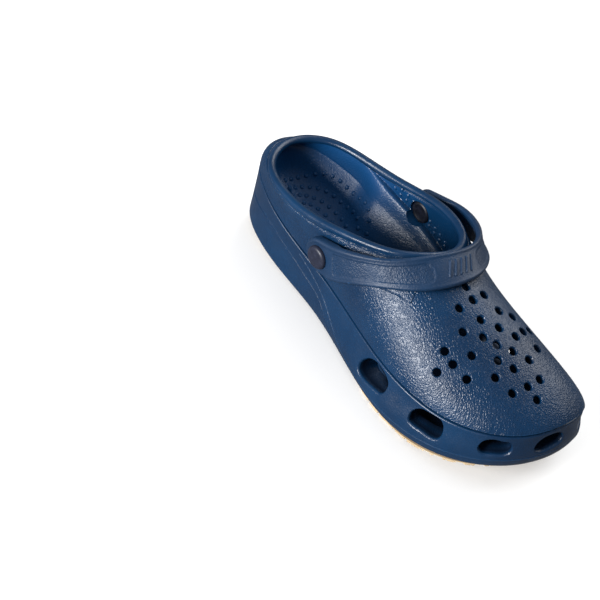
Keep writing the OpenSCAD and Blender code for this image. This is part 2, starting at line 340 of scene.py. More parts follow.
def skin(rings, low_cap, high_cap, across):
    """Points and faces of a closed skin through rings of equal length."""
    n, m = len(rings[0]), len(rings)
    low = cross_points(rings[0], across, low_cap)
    high = cross_points(rings[-1], across, high_cap)
    points = np.concatenate([*rings, low, high])
    grid = np.arange(n * m).reshape(m, n)
    a, b = grid[:-1], grid[1:]
    quads = np.stack([a, np.roll(a, -1, 1), np.roll(b, -1, 1), b], -1)
    faces = quads.reshape(-1, 4).tolist()
    faces += ladder(n, (0, n * m), across)
    faces += ladder(n, (n * (m - 1), n * m + len(low)), across)
    return points, faces


def make(name, points, faces):
    """A mesh object from points in millimetres, with its faces outward."""
    mesh = bpy.data.meshes.new(name)
    mesh.from_pydata((np.asarray(points) * MM).tolist(), [], faces)
    bm = bmesh.new()
    bm.from_mesh(mesh)
    bmesh.ops.recalc_face_normals(bm, faces=bm.faces)
    if bm.calc_volume(signed=True) < 0:
        bmesh.ops.reverse_faces(bm, faces=bm.faces)
    bm.to_mesh(mesh)
    bm.free()
    obj = bpy.data.objects.new(name, mesh)
    bpy.context.scene.collection.objects.link(obj)
    return obj


def gather(parts):
    """Points and faces of several closed shells as one."""
    points, faces, base = [], [], 0
    for p, f in parts:
        points.append(np.asarray(p, float))
        faces += [[v + base for v in face] for face in f]
        base += len(p)
    return np.concatenate(points), faces


def combine(obj, parts, how):
    """Cuts closed shells out of obj, or joins them to it."""
    tool = make("tool", *gather(parts))
    m = obj.modifiers.new("cut", "BOOLEAN")
    m.solver, m.operation, m.object = "MANIFOLD", how, tool
    dg = bpy.context.evaluated_depsgraph_get()
    new = bpy.data.meshes.new_from_object(obj.evaluated_get(dg))
    if not len(new.polygons):
        raise RuntimeError(f"{how} left nothing of {obj.name}")
    obj.modifiers.remove(m)
    old, obj.data = obj.data, new
    bpy.data.meshes.remove(old)
    bpy.data.objects.remove(tool)


def frame_of(direction):
    """Two directions square to the given one."""
    d = unit(np.asarray(direction, float))
    side = np.array([0, 0, 1.0]) if abs(d[2]) < 0.9 else np.array([1.0, 0, 0])
    u = unit(np.cross(side, d))
    return u, np.cross(d, u), d


def wall_faces(n, m, loop=False):
    """Faces between m rings of n points; a loop joins the last ring to the
    first."""
    return [[i * n + j, i * n + (j + 1) % n, (i + 1) % m * n + (j + 1) % n,
             (i + 1) % m * n + j]
            for i in range(m if loop else m - 1) for j in range(n)]


def turned(profile, origin, direction, sides):
    """A closed shell of revolution: the profile is (radius, distance) pairs
    from one end of the axis to the other."""
    u, v, d = frame_of(direction)
    a = np.arange(sides) * 2 * math.pi / sides
    circle = np.cos(a)[:, None] * u + np.sin(a)[:, None] * v
    rings = [origin + d * z + circle * r for r, z in profile]
    points = np.concatenate([*rings, [origin + d * profile[0][1]],
                             [origin + d * profile[-1][1]]])
    n, m = sides, len(profile)
    faces = wall_faces(n, m)
    for j in range(n):
        k = (j + 1) % n
        faces.append([n * m, k, j])
        faces.append([n * m + 1, (m - 1) * n + j, (m - 1) * n + k])
    return points, faces


def stacked(loops):
    """A closed shell through loops of equal length, flat at both ends."""
    n, m = len(loops[0]), len(loops)
    faces = wall_faces(n, m)
    faces += [list(range(n))[::-1], [n * (m - 1) + j for j in range(n)]]
    return np.concatenate(loops), faces


def tube(path, normals, radius, sides=8, loop=False):
    """A closed shell swept along a path that lies on a surface."""
    path = np.asarray(path, float)
    if loop:
        along = unit(np.roll(path, -1, 0) - np.roll(path, 1, 0))
    else:
        along = unit(np.gradient(path, axis=0))
    up = unit(normals - (normals * along).sum(1, keepdims=True) * along)
    side = np.cross(along, up)
    a = np.arange(sides) * 2 * math.pi / sides
    r = np.broadcast_to(radius, len(path))
    rings = [p + k * (np.cos(a)[:, None] * s + np.sin(a)[:, None] * u)
             for p, s, u, k in zip(path, side, up, r)]
    if not loop:
        return stacked(rings)
    return np.concatenate(rings), wall_faces(sides, len(rings), True)


def paint(obj, points, **layers):
    """Gives each vertex the values of the nearest of the known points, and
    a layer deep_shade of painted shade for cut faces, such as the walls of
    holes and vents, that lie far from all of them, forward of x = 8 mm."""
    tree = KDTree(len(points))
    for i, p in enumerate(points):
        tree.insert(p * MM, i)
    tree.balance()
    found = [tree.find(v.co)[1:] for v in obj.data.vertices]
    near = [i for i, d in found]
    away = np.array([d for i, d in found]) / MM
    x = np.array([v.co.x for v in obj.data.vertices]) / MM
    painted = {name: np.asarray(values, np.float32)[near]
               for name, values in layers.items()}
    painted["deep_shade"] = smooth((away - 0.9) / 2) * smooth((x - 8) / 8)
    for name, values in painted.items():
        layer = obj.data.attributes.new(name, "FLOAT", "POINT")
        layer.data.foreach_set("value", values)


def finish_piece(obj, body, node, material, angle=35):
    obj.data.materials.clear()
    obj.data.materials.append(material)
    obj.data.shade_smooth()
    obj.data.set_sharp_from_angle(angle=math.radians(angle))
    m = obj.modifiers.new("normals", "WEIGHTED_NORMAL")
    m.keep_sharp, m.weight = True, 50
    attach(obj, body)
    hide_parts(node)
    return obj


# ------------------------------------------------------------------- body
COLUMNS, ACROSS = 352, 24
BAND_ROWS, UPPER_ROWS, WALL_ROWS = 22, 64, 32
# The last 31 rows turn from the wall into the footbed.
INNER_ROWS = WALL_ROWS + 31
T = np.arange(COLUMNS) * len(SIDE) / COLUMNS
AROUND = len(SIDE)


def swell(x, centre, width):
    return np.exp(-((x - centre) / width) ** 2)


# Rounded lower edge of the sole: inset, height over the sole.
SOLE_EDGE = [(6, 2), (4, 2), (2.4, 2.15), (1.3, 2.55), (0.55, 3.15),
             (0.12, 3.8)]
# Groove between the band and the upper: extra inset, height from its middle.
GROOVE = [(0.05, -1.7), (0.2, -1.35), (0.6, -1.0), (1.3, -0.8), (2.3, -0.4),
          (2.5, 0.1), (1.8, 0.6), (0.8, 0.95)]
LINING_X = np.array([-95, -80, -67, -56, -45, -34, -23, -15, 0, 30])
LINING_Z = np.array([66, 65, 63, 60.5, 59, 57, 54, 52, 46, 41])
LINING_T, LINING_FULL, LINING_ROUND, CREST_HIGH = 3.4, 8, 8, 2.6


def lining_place(p):
    """How far p lies below the crest of the lining, and the share of the
    lining there."""
    below = np.interp(p[..., 0], LINING_X, LINING_Z) - p[..., 2]
    along = smooth((p[..., 0] + 92) / 27) * smooth((25 - p[..., 0]) / 35)
    return below, along * smooth(p[..., 1] / 15) * smooth(0.5 + below / 2.2)


def lining(p):
    """Extra thickness of the wall inside, on the medial side of the heel."""
    below, share = lining_place(p)
    return share * (LINING_T + LINING_FULL * (
        1 - np.exp(-np.maximum(below, 0) / LINING_ROUND)))


def crest_lift(p):
    """How far the crest of the lining stands up over the wall behind it."""
    below, share = lining_place(p)
    return CREST_HIGH * share * (1 - smooth((below - 1) / 9))


def inner(t, s):
    p, n = upper(t, s), upper_out(t, s)
    p = p - n * WALL
    moved = p - n * lining(p)[..., None]
    moved[..., 2] += crest_lift(p)
    return moved


def bead(t, angle):
    n, along = upper_out(t, 1), unit(upper(t, 1) - upper(t, 0.96))
    a = math.radians(angle)
    return (closed_curve(COLLAR, t) - n * WALL / 2
            + BEAD_R * (math.cos(a) * n + math.sin(a) * along))


def body_rings():
    """Rings of the body from under the sole, over the rim, down to the
    footbed, with how strongly each ring shows the grain and how much
    painted shade it gets for lying in the groove."""
    rings, grain, seam = [], [], []

    def add(ring, g, sunk=0.0):
        rings.append(ring)
        grain.append(np.full(COLUMNS, g))
        seam.append(np.full(COLUMNS, sunk))

    for inset, h in SOLE_EDGE:
        add(level(T, inset, h), 0.35)
    g = groove_h(T)
    for u in np.linspace(0, 1, BAND_ROWS):
        h = EDGE_H + u * (g - 1.9 - EDGE_H)
        add(band(T, h), 0.45)
    waist = 1 + 0.5 * swell(T, 11.6, 0.8) + 0.5 * swell(T, 4.4, 0.8)
    # Rows in the groove get painted shade, stronger the further they are sunk
    # in.
    for extra, dz in GROOVE:
        h = g + dz
        add(level(T, band_inset(T, np.minimum(h, g)) + extra * waist, h), 0.15,
            smooth((extra - 0.7) / 1.2))
    length = np.linalg.norm(closed_curve(COLLAR, T) - lip(T), axis=1)
    for s in [0, 0.008, 0.02, *np.linspace(0.035, 0.9, UPPER_ROWS),
              *np.linspace(0.91, 0.966, 9)]:
        under = 0.9 * (1 - s) * length - BEAD_LINE
        add(upper(T, s) - upper_out(T, s) * BEAD_SUNK
            * np.exp(-(under / 0.8) ** 2)[:, None], 1.0)
    for angle in np.linspace(-35, 235, 19):
        add(bead(T, angle), 0.3)
    for s in np.linspace(0.93, 0.29, WALL_ROWS):
        add(inner(T, s), 0.5)
    foot = foam(SIDE[:, 0])
    cup = smooth((-15 - SIDE[:, 0]) / 60)
    top = np.maximum(SIDE[:, 4], foot + 12)

    def ring(inset, h, share):
        p = level(T, closed_curve(inset, T), closed_curve(h, T))
        flat = np.column_stack([closed_curve(OUT, T), np.zeros(COLUMNS)])
        return p - flat * (lining(p) * share)[:, None]

    low = through([inner(T, 0.27), inner(T, 0.16),
                   ring(SIDE[:, 5] + WALL + 1.5 + 2.5 * cup, top, 1),
                   ring(SIDE[:, 5] + WALL + 3.5 + 5.5 * cup,
                        foot + 7 + 2.5 * cup, 0.9),
                   ring(11 + 6 * cup, foot + 2.5 + 0.8 * cup, 0.7),
                   ring(18 + 9 * cup, foot + 0.2 * cup, 0.45)], 6)
    for r in low:
        add(r, 0.5)
    return rings, grain, seam


def sole_cap(p, u, width):
    """The underside between two edge points."""
    edge = np.minimum(u, 1 - u) * width
    p = p.copy()
    w = smooth(edge / 9)
    p[:, 2] = p[:, 2] * (1 - w) + (rise(p[:, 0]) + TREAD_PROUD) * w
    return p


def foot_cap(p, u, width):
    """The footbed between two edge points, slightly dished."""
    p = p.copy()
    p[:, 2] -= 1.0 * np.sin(np.pi * u) ** 2 * min(1, width / 30)
    return p


# Oval line on the underside between the treads: middle, half size, depth.
WAIST_AT, WAIST_HALF, WAIST_LINE = (-15, -1), (12, 18), 0.8
_grid_s = np.linspace(0.15, 0.97, 83)
_grid = upper(T[None, :], _grid_s[:, None])


def hole_place(x, y):
    """Place and direction of an air hole of the vamp."""
    d = (_grid[..., 0] - x) ** 2 + (_grid[..., 1] - y) ** 2
    d[_grid[..., 0] < 22] = 1e9
    i, j = np.unravel_index(d.argmin(), d.shape)
    n = upper_out(T[j], _grid_s[i])
    p = _grid[i, j]
    z = p[2] - ((x - p[0]) * n[0] + (y - p[1]) * n[1]) / n[2]
    return np.array([x, y, z]), n


def waist_oval():
    """A shallow oval line pressed into the waist of the sole."""
    a = np.arange(96) * 2 * math.pi / 96
    path = np.stack([WAIST_AT[0] + WAIST_HALF[0] * np.cos(a),
                     WAIST_AT[1] + WAIST_HALF[1] * np.sin(a),
                     np.full(96, TREAD_PROUD - 0.1)], 1)
    return tube(path, np.tile([0.0, 0.0, -1.0], (96, 1)), WAIST_LINE, 8, True)


# Cutter of an air hole: radius, distance from the outer face.
HOLE_CUT = [(HOLE_R + 0.9, -9), (HOLE_R + 0.5, -5.2), (HOLE_R, -4),
            (HOLE_R, -1.1), (HOLE_R + 0.08, -0.75), (HOLE_R + 0.28, -0.4),
            (HOLE_R + 0.62, -0.12), (HOLE_R + 1.1, 0.12), (HOLE_R + 2, 2)]
# Cutter of a vent: how far it is wider, distance from the outer face.
VENT_CUT = [(-0.6, -15), (0, -4), (0, -1.8), (0.12, -1.2), (0.4, -0.65),
            (0.85, -0.2), (1.5, 0.2), (2.6, 2.5)]


def vent_cutter(outline):
    """Cutter of a vent, square to the band and even all the way round."""
    spans = np.array([*outline[-1:], *outline, *outline[:2]], float)
    loop = np.array([spline(*spans[i:i + 4], u) for i in range(len(outline))
                     for u in np.arange(6) / 6])
    q = band(loop[:, 0], loop[:, 1])
    n = unit(band_out(loop[:, 0], loop[:, 1]).mean(0))
    if np.dot(n[:2], q.mean(0)[:2] - np.array([20, 0])) < 0:
        n = -n
    n = unit(n * np.array([1, 1, 0.2]))
    along = unit(np.roll(q, -1, 0) - np.roll(q, 1, 0))
    wide = unit(np.cross(along, n))
    if ((q - q.mean(0)) * wide).sum() < 0:
        wide = -wide
    return stacked([q + n * d + wide * w for w, d in VENT_CUT])


def pad_ring(control, grow, h, start, n=240):
    t = np.arange(n) * len(control) / n + start
    p = closed_curve(control, t)
    a = closed_curve(control, t + 0.05)
    d = a - p
    out = unit(np.stack([d[:, 1], -d[:, 0]], 1))
    q = p + out * np.broadcast_to(grow, n)[:, None]
    return np.column_stack([q, rise(q[:, 0]) + h])


def pad_shell(control, profile, start, across=16):
    """A closed shell over a pad's outline: the profile is (grow, height)
    pairs from its lower to its upper face."""
    rings = [pad_ring(control, grow, h, start) for grow, h in profile]

    def cap(h):
        def shape(p, u, width):
            return np.column_stack([p[:, :2], rise(p[:, 0]) + h])
        return shape

    return skin(rings, cap(profile[0][1]), cap(profile[-1][1]), across)


PAD_STARTS = {"ball": 0, "heel": 9}
POCKET = [(TREAD_SLACK, -2), (TREAD_SLACK, TREAD_PROUD + TREAD_INLAY
                              + TREAD_SLACK)]


# Sunk line of the band from the heel down to the edge of the sole.
SUNK_LINE = [(8, 22), (9, 24), (9.7, 28), (10.2, 26), (10.7, 21.5),
             (10.95, 19.5), (11.2, 13), (11.4, 7), (11.46, 4.6)]
# Raised line from the groove down and forward to the toe.
RAISED_LINE = [(10.46, 33.6), (10.82, 28.4), (11.12, 22.8), (11.36, 16.6),
               (11.62, 10.8), (11.98, 8.2), (12.5, 8), (13, 8.5), (14, 9.5),
               (15, 10.5), (16, 11)]
# Rods that cut or add these lines: lift off the band, radius.
SUNK_ROD, RAISED_ROD = (0.65, 1.1), (-0.45, 0.8)
# Creases of the upper under the strap: place, height (0 groove, 1 rim).
CREASES = [[(12.4, 0.66), (12.84, 0.7), (13.36, 0.72), (13.8, 0.71)],
           [(13.76, 0.7), (13.92, 0.74), (14.04, 0.77), (14.2, 0.81)]]
# Rings of small nubs on the heel's footbed: centre and half axes.
NUB_CENTRE, NUB_AXES, NUB_PITCH = (-86, 3), (36, 27), 5.5
# Rows of nubs on the wall: heights over the crest, range of x.
WALL_NUB_OVER, WALL_NUB_X = (4.5, 9), (-62, 6)
NUB = [(1.6, -0.8), (1.6, 0), (1.4, 0.35), (1.0, 0.65), (0.5, 0.82)]


def nub_places():
    a, b = NUB_AXES
    while b > 3:
        around = 2 * math.pi * math.sqrt((a * a + b * b) / 2)
        count = round(around / NUB_PITCH)
        for i in range(count):
            w = 2 * math.pi * i / count
            yield (NUB_CENTRE[0] + a * math.cos(w),
                   NUB_CENTRE[1] + b * math.sin(w))
        a, b = a - NUB_PITCH, b - NUB_PITCH


def outward(p, n):
    """Normals turned to point away from the middle of the clog."""
    away = p[:, :2] - np.column_stack([np.clip(p[:, 0], -80, 80), 0 * p[:, 0]])
    flip = (away * n[:, :2]).sum(1) < 0
    return np.where(flip[:, None], -n, n)


def band_lines(points, lift, radius):
    """Rods along a line of the band, lateral and medial, with their middle
    lifted off its face."""
    for medial in (False, True):
        pts = np.array(points, float)
        if medial:
            pts[:, 0] = AROUND - pts[:, 0]
        t, h = np.array(through(list(pts), 12)).T
        p = band(t, h)
        n = outward(p, band_out(t, h))
        yield tube(p + n * lift, n, radius)


def crease(points):
    path = np.array(through(list(np.array(points)), 10))
    p, n = upper(path[:, 0], path[:, 1]), upper_out(path[:, 0], path[:, 1])
    ends = np.minimum(np.arange(len(p)), np.arange(len(p))[::-1])
    return tube(p + n * (0.7 - 0.3 * smooth(ends / 8))[:, None], n, 0.85)


def wall_nubs():
    """Two rows of small nubs on the wall over the crest of the lining."""
    t, s = np.arange(2, 8, 0.02), np.linspace(0.5, 0.93, 120)
    p = inner(t[None, :], s[:, None])
    for over in WALL_NUB_OVER:
        for x in np.arange(*WALL_NUB_X, NUB_PITCH):
            z = np.interp(x, LINING_X, LINING_Z) + over
            d = np.hypot(p[..., 0] - x, p[..., 2] - z)
            i, j = np.unravel_index(d.argmin(), d.shape)
            if d[i, j] < 1.5:
                yield turned(NUB, p[i, j], -upper_out(t[j], s[i]), 8)


def build_body():
    rings, grain, seam = body_rings()
    points, faces = skin(rings, sole_cap, foot_cap, ACROSS)
    rows = np.concatenate(grain)
    rest = len(points) - len(rows)
    values = np.concatenate([rows, np.full(rest, 0.5)])
    seam = np.concatenate([*seam, np.zeros(rest)])
    # Painted shade: the wall rows and the footbed inside the toe box, from x =
    # 10 mm forward and full by 40 mm, get a near-black tone.
    inside = np.zeros(len(points))
    inside[len(rows) - COLUMNS * INNER_ROWS:len(rows)] = 1
    inside[-rest // 2:] = 1
    # Painted light: the same inner faces from x = -28 mm back, full by -73 mm,
    # get a lighter blue in the heel cup.
    cup = inside * smooth((-28 - points[:, 0]) / 45)
    inside *= smooth((points[:, 0] - 10) / 30)
    obj = make("clog_shell", points, faces)
    nub_list = []
    tree = BVHTree.FromObject(obj, bpy.context.evaluated_depsgraph_get())
    for x, y in nub_places():
        hit, n, _, _ = tree.ray_cast(Vector((x * MM, y * MM, 0.06)),
                                     Vector((0, 0, -1)))
        if hit is not None:
            nub_list.append(turned(NUB, np.array(hit) / MM, np.array(n), 8))
    combine(obj, [*band_lines(RAISED_LINE, *RAISED_ROD), *nub_list,
                  *wall_nubs()], "UNION")
    cutters = []
    for row in VAMP_HOLES:
        for y in row[1:]:
            p, n = hole_place(row[0], y)
            cutters.append(turned(HOLE_CUT, p, n, 28))
    cutters += [vent_cutter(v) for v in VENTS]
    cutters += [pad_shell(BALL_PAD, POCKET, PAD_STARTS["ball"]),
                pad_shell(HEEL_PAD, POCKET, PAD_STARTS["heel"])]
    combine(obj, cutters, "DIFFERENCE")
    combine(obj, [*band_lines(SUNK_LINE, *SUNK_ROD),
                  *map(crease, CREASES), waist_oval()], "DIFFERENCE")
    bore = SHANK_R + BORE_SLACK
    combine(obj, [turned([(bore, -10), (bore, 115)], PIVOT, AXIS, 40)],
            "DIFFERENCE")
    recess = CAP_R + CAP_SLACK
    seat = STRAP_END_R + 2
    combine(obj, [turned([(recess, LAT_SEAT), (recess, MED_SEAT)],
                         PIVOT, AXIS, 56),
                  turned([(seat, MED_WALL), (seat, MED_WALL + 12)],
                         PIVOT, AXIS, 72)], "DIFFERENCE")
    paint(obj, points, grain=values, inside=inside, cup=cup, seam=seam)
    return obj


# ------------------------------------------------------------------ strap
STRAP_SPANS = len(STRAP_TOP) - 1
EDGE_ROUND = 1.5
# Sunk panels of the strap: start, end, corner at each end (along the strap).
PANELS = [(14.5, 88, 2.5, 5.5), (121.5, 197, 5.5, 2.5)]
PANEL_TOP, PANEL_LOW, PANEL_DEEP = 5.0, 4.4, 0.55
# Plain slanted ribs on the front of the strap, in one row.
BARS = [(s, 0.0) for s in np.arange(98.5, 115.5, 4.1)]
BAR_LONG, BAR_HALF, BAR_HIGH = 4.6, 0.7, 0.75
BAR_ALONG, BAR_UP = 0.35, 0.94
# Ridges along the upper and the lower edge: height, place, width.
EDGE_RIDGES = [(0.45, 1.9, 1.1), (0.2, 1.7, 0.9)]
# Length of a mesh step along the strap, and a finer one where the ribs are.
STRAP_STEP, RIB_STEP, RIB_ZONE = 0.62, 0.28, (96, 117)
UNDER_ROUND = 1.2


def strap_line(t):
    """Middle, half width, direction across and outward normal at t."""
    top, low = open_curve(STRAP_TOP, t), open_curve(STRAP_LOW, t)
    mid, across = (top + low) / 2, unit(top - low)
    e = 0.04
    t0, t1 = np.maximum(t - e, 0), np.minimum(t + e, STRAP_SPANS)
    ahead = ((open_curve(STRAP_TOP, t1) + open_curve(STRAP_LOW, t1))
             - (open_curve(STRAP_TOP, t0) + open_curve(STRAP_LOW, t0)))
    out = unit(np.cross(ahead, across))
    return mid, np.linalg.norm(top - low, axis=1) / 2, across, out


def rounded_box(s, v, s0, s1, v0, v1, r):
    """Signed distance to a rectangle with round corners of radius r."""
    ds = np.abs(s - (s0 + s1) / 2) - (s1 - s0) / 2 + r
    dv = np.abs(v - (v0 + v1) / 2) - (v1 - v0) / 2 + r
    return (np.hypot(np.maximum(ds, 0), np.maximum(dv, 0))
            + np.minimum(np.maximum(ds, dv), 0) - r)


def strap_height(s, v, half, inside):
    """Height of the strap's outer face; inside is the distance from the
    edge."""
    high = -EDGE_ROUND + np.sqrt(np.maximum(
        0, EDGE_ROUND ** 2 - np.maximum(0, EDGE_ROUND - inside) ** 2))
    for (ridge, at, wide), here in zip(EDGE_RIDGES, (v > 0, v <= 0)):
        high = high + ridge * np.exp(-((inside - at) / wide) ** 2) * here
    for s0, s1, r0, r1 in PANELS:
        r = np.where(s < (s0 + s1) / 2, r0, r1)
        d = rounded_box(s, v, s0, s1, PANEL_LOW - half, half - PANEL_TOP, r)
        high = high - PANEL_DEEP * (1 - smooth(0.5 + d / 0.9))
    for s0, v0 in BARS:
        ds, dv = s - s0, v - v0
        along = np.clip(BAR_ALONG * ds + BAR_UP * dv, -BAR_LONG, BAR_LONG)
        d = np.hypot(ds - BAR_ALONG * along, dv - BAR_UP * along)
        high = high + BAR_HIGH * (1 - smooth((d - BAR_HALF + 0.3) / 0.6))
    return high


def build_strap():
    fine = np.linspace(0, STRAP_SPANS, 1400)
    mid = strap_line(fine)[0]
    run = np.concatenate([[0], np.cumsum(np.linalg.norm(
        np.diff(mid, axis=0), axis=1))])
    total = run[-1]
    stops = np.unique(np.concatenate([
        np.arange(0, RIB_ZONE[0], STRAP_STEP), np.arange(*RIB_ZONE, RIB_STEP),
        np.arange(RIB_ZONE[1], total, STRAP_STEP), [total]]))
    t = np.interp(stops, run, fine)
    mid, half, across, out = strap_line(t)
    lateral_out, medial_out = -AXIS, AXIS
    bend = smooth(stops / 9)[:, None]
    out = unit(out * bend + lateral_out * (1 - bend))
    bend = smooth((total - stops) / 9)[:, None]
    out = unit(out * bend + medial_out * (1 - bend))
    turn = np.radians(np.linspace(0, 90, 23)[1:])
    cols = []
    back = unit(np.cross(out[0], across[0]))
    back *= -np.sign(np.dot(back, mid[5] - mid[0]))
    for a in turn[::-1]:
        cols.append((mid[0] + back * half[0] * math.sin(a),
                     half[0] * math.cos(a), across[0], out[0],
                     -half[0] * math.sin(a), half[0]))
    for i in range(len(stops)):
        cols.append((mid[i], half[i], across[i], out[i], stops[i], half[i]))
    back = unit(np.cross(out[-1], across[-1]))
    back *= -np.sign(np.dot(back, mid[-6] - mid[-1]))
    for a in turn:
        cols.append((mid[-1] + back * half[-1] * math.sin(a),
                     half[-1] * math.cos(a), across[-1], out[-1],
                     total + half[-1] * math.sin(a), half[-1]))
    u = np.sin(np.linspace(-1, 1, 61) * math.radians(86))
    u /= u[-1]
    under = np.sin(np.linspace(-1, 1, 27) * math.radians(80))
    under /= under[-1]
    points, grain = [], []
    for c, h, w, n, s, full in cols:
        beyond = max(0, -s, s - total)
        thick = STRAP_T + (STRAP_END_T - STRAP_T) * (
            1 - smooth((min(s, total - s) - 11) / 14))
        v = h * u
        inside = np.maximum(0, np.where(
            beyond > 0, full - np.hypot(beyond, v), h - np.abs(v)))
        z = strap_height(s, v, full, inside)
        points.append(c + w * v[:, None] + n * z[:, None])
        grit = np.full(len(v), 0.45)
        for s0, s1, r0, _ in PANELS:
            d = rounded_box(s, v, s0, s1, PANEL_LOW - full, full - PANEL_TOP,
                            r0)
            grit = np.maximum(grit, smooth(0.5 - d))
        grain.append(grit)
        v = h * under[::-1]
        inside = np.maximum(0, np.where(
            beyond > 0, full - np.hypot(beyond, v), h - np.abs(v)))
        z = -thick + UNDER_ROUND - np.sqrt(np.maximum(
            0, UNDER_ROUND ** 2 - np.maximum(0, UNDER_ROUND - inside) ** 2))
        points.append(c + w * v[:, None] + n * z[:, None])
        grain.append(np.full(len(v), 0.4))
    n = len(u) + len(under)
    m = len(cols)
    points = np.concatenate(points)
    faces = wall_faces(n, m)
    faces += [list(range(n))[::-1], [n * (m - 1) + j for j in range(n)]]
    obj = make("heel_strap_sheet", points, faces)
    bm = bmesh.new()
    bm.from_mesh(obj.data)
    bmesh.ops.remove_doubles(bm, verts=bm.verts, dist=2e-6)
    bmesh.ops.dissolve_degenerate(bm, edges=bm.edges, dist=1e-6)
    bmesh.ops.recalc_face_normals(bm, faces=bm.faces)
    bm.to_mesh(obj.data)
    bm.free()
    bore = SHANK_R + SHANK_FIT
    combine(obj, [turned([(bore, LAT_STRAP - 5), (bore, LAT_STRAP + 9)],
                         PIVOT, AXIS, 40),
                  turned([(bore, MED_STRAP - 5), (bore, MED_STRAP + 9)],
                         PIVOT, AXIS, 40)], "DIFFERENCE")
    paint(obj, points, grain=np.concatenate(grain))
    return obj


# ----------------------------------------------------------------- rivets
# Round head of a button with its shank: radius, distance from the face.
BUTTON = [(1.2, 0.32), (3.2, 0.3), (4.6, 0.2), (5.2, 0.06), (5.8, 0),
          (6.5, 0.08), (7.2, 0.4), (7.7, 0.95), (7.95, 1.6), (8, 2.2),
          (7.9, 2.7), (7.6, 3), (2.5, 3), (2.5, 12.9), (2.2, 13.4)]
# Cap on the inner end of a shank: radius, distance from its seat.
CAP = [(1.2, 1), (2.58, 1), (2.58, 0), (7.2, 0), (7.45, 0.25), (7.5, 0.7),
       (7.3, 1.2), (6.8, 1.65), (6.2, 1.9), (5.6, 1.92), (5.1, 1.75),
       (4.6, 1.5), (3.6, 1.42), (1.5, 1.4)]


def build_rivets():
    lateral = make("button_lateral", *turned(
        [*BUTTON[:-2], (2.5, SHANK_LATERAL - 0.4), (2.2, SHANK_LATERAL)],
        PIVOT, AXIS, 72))
    face = on_axis(MED_STRAP + STRAP_END_T + BUTTON_T + 0.05)
    medial = make("button_medial", *turned(
        [*BUTTON[:-2], (2.5, SHANK_MEDIAL - 0.4), (2.2, SHANK_MEDIAL)],
        face, -AXIS, 72))
    cap_lateral = make("cap_lateral", *turned(
        CAP, on_axis(LAT_SEAT + 0.05), AXIS, 72))
    cap_medial = make("cap_medial", *turned(
        CAP, on_axis(MED_SEAT - 0.05), -AXIS, 72))
    return lateral, medial, cap_lateral, cap_medial


# ------------------------------------------------------------------ treads
# Lugs lie in rows along X: a wide oval and a round one in turn.
ROW_PITCH, LUG_PITCH, ROW_SHIFT = 8.6, 25.6, 8.53
LUG_SHAPES = [(0, 6.6, 3.9), (12.8, 4.3, 3.9)]
RIB_WIDE, RIB_GAP = 2.15, 0.55
LUG_WIDE = 1.7
PLATE = [(1.4, 1.2), (LUG_WIDE, 1.35), (LUG_WIDE, 1.85), (1.5, 1.95),
         (0, 1.96), (0, 3.9), (-0.1, 4)]


def rib_loop(cx, cy, a, b, y0, y1, grow):
    """Outline of the part of an oval lug that lies between y0 and y1."""
    y = np.linspace(y0 - grow, y1 + grow, 6)
    reach = (a + grow) * np.sqrt(np.maximum(0.04, 1 - (y / (b + grow)) ** 2))
    x = np.concatenate([reach, -reach[::-1]])
    return np.column_stack([cx + x, cy + np.concatenate([y, y[::-1]])])


def lugs(control):
    parts = []
    lo, hi = control.min(0) - 8, control.max(0) + 8
    for r in range(int((hi[1] - lo[1]) / ROW_PITCH) + 1):
        cy = lo[1] + r * ROW_PITCH
        shift = (r * ROW_SHIFT) % LUG_PITCH
        for c in range(int((hi[0] - lo[0]) / LUG_PITCH) + 2):
            for dx, a, b in LUG_SHAPES:
                cx = lo[0] + c * LUG_PITCH + dx + shift - LUG_PITCH
                for k in (-1, 0, 1):
                    y0 = k * (RIB_WIDE + RIB_GAP) - RIB_WIDE / 2
                    loops = []
                    for grow, h in ((-0.25, 0.02), (-0.05, 0.2), (0.2, 1.6)):
                        xy = rib_loop(cx, cy, a, b, y0, y0 + RIB_WIDE, grow)
                        loops.append(np.column_stack([xy, rise(xy[:, 0]) + h]))
                    parts.append(stacked(loops))
    return parts


def build_tread(name, control, start):
    obj = make(name, *gather(lugs(control)))
    column = [(LUG_WIDE, -1), (LUG_WIDE, 3)]
    combine(obj, [pad_shell(control, column, start)], "INTERSECT")
    combine(obj, [pad_shell(control, PLATE, start)], "UNION")
    return obj


